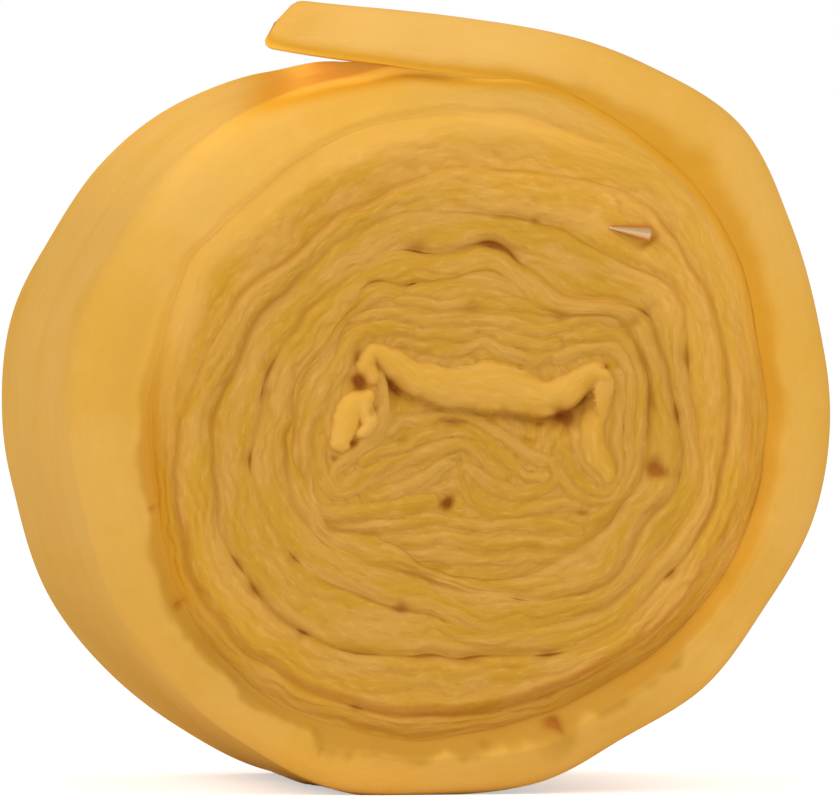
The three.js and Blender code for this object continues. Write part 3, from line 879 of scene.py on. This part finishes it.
# Neighbouring pieces overlap inside a crease. bow says how blunt the ends of a piece are pinched.
wool_pieces = [
    make_turns("outer_wrap", -TAIL_TURNS, 1.12, step=3.0,
               edge_points=36, flank_points=30, end_steps=4, bow=2.5),
    make_turns("middle_turns", 1.09, 3.0, step=2.3,
               edge_points=36, flank_points=4, end_steps=4, bow=2.0),
    make_turns("inner_turns", 2.97, SPIRAL_END, step=2.2,
               edge_points=29, flank_points=4, end_steps=4, bow=2.0),
    make_heart(),
]

# ---------- Materials ----------

# Painted light that the wool gives off in place of what comes through real wool
NO_LIGHT = (0.0, 0.0, 0.0, 1.0)
CREASE_LIGHT = (0.04, 0.012, 0.002, 1.0)
EDGE_LIGHT = (0.045, 0.02, 0.002, 1.0)
FREE_END_LIGHT = (0.235, 0.172, 0.026, 1.0)


def linear(red, green, blue):
    """A screen's colour, whose parts run from 11 to 255, as the shader wants it."""
    return tuple(((part / 255 + 0.055) / 1.055) ** 2.4 for part in (red, green, blue)) + (1.0,)


def node(tree, kind, **settings):
    made = tree.nodes.new(kind)
    for key, value in settings.items():
        setattr(made, key, value)
    return made


def noise(tree, vector, scale, detail, roughness=0.5):
    """Noise over the blanket's map; scale is in lumps to the metre along and across it."""
    stretch = node(tree, "ShaderNodeMapping")
    stretch.inputs["Scale"].default_value = (scale[0], scale[1], 1.0)
    tree.links.new(vector, stretch.inputs["Vector"])
    made = node(tree, "ShaderNodeTexNoise", noise_dimensions="2D")
    made.inputs["Scale"].default_value = 1.0
    made.inputs["Detail"].default_value = detail
    made.inputs["Roughness"].default_value = roughness
    tree.links.new(stretch.outputs["Vector"], made.inputs["Vector"])
    return made.outputs["Fac"]


def rising(tree, value, low, high, top=1.0):
    """Turns a value into 0 at low, top at high and a smooth run between. low may be the larger."""
    made = node(tree, "ShaderNodeMapRange", interpolation_type="SMOOTHSTEP")
    made.inputs["From Min"].default_value = low
    made.inputs["From Max"].default_value = high
    made.inputs["To Max"].default_value = top
    tree.links.new(value, made.inputs["Value"])
    return made.outputs["Result"]


def mixed(tree, factor, a, b):
    """Mixes two colours, each a colour or the output of a node."""
    made = node(tree, "ShaderNodeMix", data_type="RGBA")
    tree.links.new(factor, made.inputs["Factor"])
    for socket, colour in (("A", a), ("B", b)):
        if isinstance(colour, tuple):
            made.inputs[socket].default_value = colour
        else:
            tree.links.new(colour, made.inputs[socket])
    return made.outputs["Result"]


def mark(tree, name):
    return node(tree, "ShaderNodeAttribute", attribute_name=name).outputs["Fac"]


def where_marked(tree, name, low, high, top=1.0):
    """Like rising, for a mark on the mesh's points."""
    return rising(tree, mark(tree, name), low, high, top)


def wool_colour(tree, uv):
    """Yellow wool: banded and flecked on the cut edge, with painted shade in the layers' valleys and
    painted highlight on their ridges, cloudy where it is loose, and with a painted sheen on the free
    end.
    """
    bands = rising(tree, noise(tree, uv, (14.0, 60.0), 3.0), 0.36, 0.64)
    high = mixed(tree, bands, linear(213, 158, 52), linear(220, 164, 74))
    low = mixed(tree, bands, linear(198, 141, 38), linear(204, 146, 56))
    # painted shade: the layers' valleys are painted darker and their ridges lighter
    edge = mixed(tree, where_marked(tree, "ridge", 0.2, 1.0), low, high)
    pale = rising(tree, noise(tree, uv, (80.0, 330.0), 2.0), 0.5, 0.8, 0.3)
    edge = mixed(tree, pale, edge, linear(236, 190, 100))
    dark = rising(tree, noise(tree, uv, (70.0, 260.0), 2.0), 0.45, 0.2, 0.3)
    edge = mixed(tree, dark, edge, linear(192, 136, 40))

    clouds = rising(tree, noise(tree, uv, (8.0, 5.0), 4.0, 0.6), 0.3, 0.7)
    full = mixed(tree, clouds, linear(228, 172, 68), linear(234, 180, 88))
    streaks = rising(tree, noise(tree, uv, (6.0, 70.0), 2.0), 0.35, 0.65, 0.3)
    full = mixed(tree, streaks, full, linear(226, 170, 72))
    # painted sheen on the free end, paler than the rest
    loosest = where_marked(tree, "loose", 1.0, 1.5, 0.6)
    full = mixed(tree, loosest, full, linear(242, 190, 106))
    # the fuller wool of the outer wrap, which elsewhere carries painted highlight and painted light
    return mixed(tree, where_marked(tree, "loose", 0.0, 1.0, 0.85), edge, full)


def fibre_bump(tree, uv):
    fine = noise(tree, uv, (110.0, 330.0), 3.0, 0.6)
    fibres = noise(tree, uv, (600.0, 1500.0), 2.0)
    height = node(tree, "ShaderNodeMath", operation="MULTIPLY_ADD")
    height.inputs[1].default_value = 0.25
    tree.links.new(fibres, height.inputs[0])
    tree.links.new(fine, height.inputs[2])
    bump = node(tree, "ShaderNodeBump")
    bump.inputs["Strength"].default_value = 0.3
    bump.inputs["Distance"].default_value = 0.0012
    tree.links.new(height.outputs["Value"], bump.inputs["Height"])
    return bump.outputs["Normal"]


def glass_wool():
    """The blanket's material. It is painted darker as painted shade in creases and pits and low on the
    roll, its colour is scaled by painted light and shade round the roll, and it gives off painted light
    at thin edges, deep in the creases and under the free end."""
    material = bpy.data.materials.new("glass_wool")
    material.use_nodes = True
    tree = material.node_tree
    shader = tree.nodes["Principled BSDF"]
    link = tree.links.new
    uv = node(tree, "ShaderNodeUVMap", uv_map="blanket").outputs["UV"]

    # the bottoms of creases and pits, which get the deepest painted shade
    deepest = where_marked(tree, "hollow", 0.65, 1.0, 0.6)
    most_lit = where_marked(tree, "glow", 1.0, 2.0)
    colour = wool_colour(tree, uv)
    # painted shade low on the roll and in creases and pits, deepest at their bottoms, then painted
    # light, more orange and then brighter, where the wool is made to glow
    for amount, tint in (
        (where_marked(tree, "dull", 0.0, 1.0, 0.85), linear(192, 138, 44)),
        (where_marked(tree, "hollow", 0.05, 1.0, 0.85), linear(182, 120, 34)),
        (deepest, linear(172, 98, 36)),
        (where_marked(tree, "glow", 0.0, 1.0, 0.85), linear(210, 146, 26)),
        (most_lit, linear(230, 172, 66)),
    ):
        colour = mixed(tree, amount, colour, tint)
    # painted light and shade round the roll scales the colour
    shaded = node(tree, "ShaderNodeVectorMath", operation="SCALE")
    link(colour, shaded.inputs[0])
    link(mark(tree, "shade"), shaded.inputs["Scale"])
    link(shaded.outputs["Vector"], shader.inputs["Base Color"])

    # painted light given off in the deepest creases, at thin edges and most of all under the free end
    light = mixed(tree, deepest, NO_LIGHT, CREASE_LIGHT)
    light = mixed(tree, where_marked(tree, "glow", 0.2, 1.0), light, EDGE_LIGHT)
    light = mixed(tree, most_lit, light, FREE_END_LIGHT)
    link(light, shader.inputs["Emission Color"])
    shader.inputs["Emission Strength"].default_value = 1.0
    shader.inputs["Roughness"].default_value = 0.95
    shader.inputs["Specular IOR Level"].default_value = 0.1
    link(fibre_bump(tree, uv), shader.inputs["Normal"])
    return material


wool = glass_wool()
for piece in wool_pieces:
    piece.data.materials.append(wool)
    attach(piece, "root")
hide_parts("insulation_blanket")

pin_metal = bpy.data.materials.new("pin_metal")
pin_metal.use_nodes = True
pin_shader = pin_metal.node_tree.nodes["Principled BSDF"]
pin_shader.inputs["Base Color"].default_value = linear(228, 187, 136)
pin_shader.inputs["Metallic"].default_value = 1.0
pin_shader.inputs["Roughness"].default_value = 0.28
pin.data.materials.clear()
pin.data.materials.append(pin_metal)

# ---------- Floor and light ----------


def as_seen(tree, otherwise, seen):
    """One brightness for the camera, and another for everything that the light falls on."""
    camera_ray = node(tree, "ShaderNodeLightPath").outputs["Is Camera Ray"]
    return mixed(tree, camera_ray, (otherwise,) * 3 + (1.0,), (seen,) * 3 + (1.0,))


def make_floor():
    bm = bmesh.new()
    bmesh.ops.create_grid(bm, x_segments=1, y_segments=1, size=40.0)
    mesh = bpy.data.meshes.new("floor")
    bm.to_mesh(mesh)
    bm.free()
    floor = bpy.data.objects.new("floor", mesh)
    bpy.context.scene.collection.objects.link(floor)
    material = bpy.data.materials.new("pale_floor")
    material.use_nodes = True
    tree = material.node_tree
    shader = tree.nodes["Principled BSDF"]
    shader.inputs["Base Color"].default_value = (0.9, 0.9, 0.9, 1.0)
    shader.inputs["Roughness"].default_value = 1.0
    shader.inputs["Specular IOR Level"].default_value = 0.0
    tree.links.new(as_seen(tree, 0.0, 0.5), shader.inputs["Emission Color"])
    shader.inputs["Emission Strength"].default_value = 1.0
    mesh.materials.append(material)


def add_lamp(name, place, aim, size, power):
    data = bpy.data.lights.new(name, "AREA")
    data.shape = "DISK"
    data.size = size
    data.energy = power
    lamp = bpy.data.objects.new(name, data)
    lamp.location = place
    lamp.rotation_mode = "QUATERNION"
    lamp.rotation_quaternion = (Vector(aim) - Vector(place)).to_track_quat("-Z", "Y")
    bpy.context.scene.collection.objects.link(lamp)


make_floor()
add_lamp("key_lamp", (-3.2, -1.4, 2.8), aim=(0, 0, 0.25), size=2.6, power=63)
add_lamp("fill_lamp", (1.5, -1.9, 2.2), aim=(0.1, 0, 0.3), size=1.8, power=25)
add_lamp("low_lamp", (-1.2, -2.8, 0.4), aim=(0, 0, 0.1), size=1.6, power=4)

world = bpy.data.worlds.new("studio")
world.use_nodes = True
backdrop = world.node_tree.nodes["Background"]
world.node_tree.links.new(as_seen(world.node_tree, 0.6, 1.0), backdrop.inputs["Color"])
backdrop.inputs["Strength"].default_value = 1.0
bpy.context.scene.world = world
bpy.context.scene.view_settings.view_transform = "Standard"
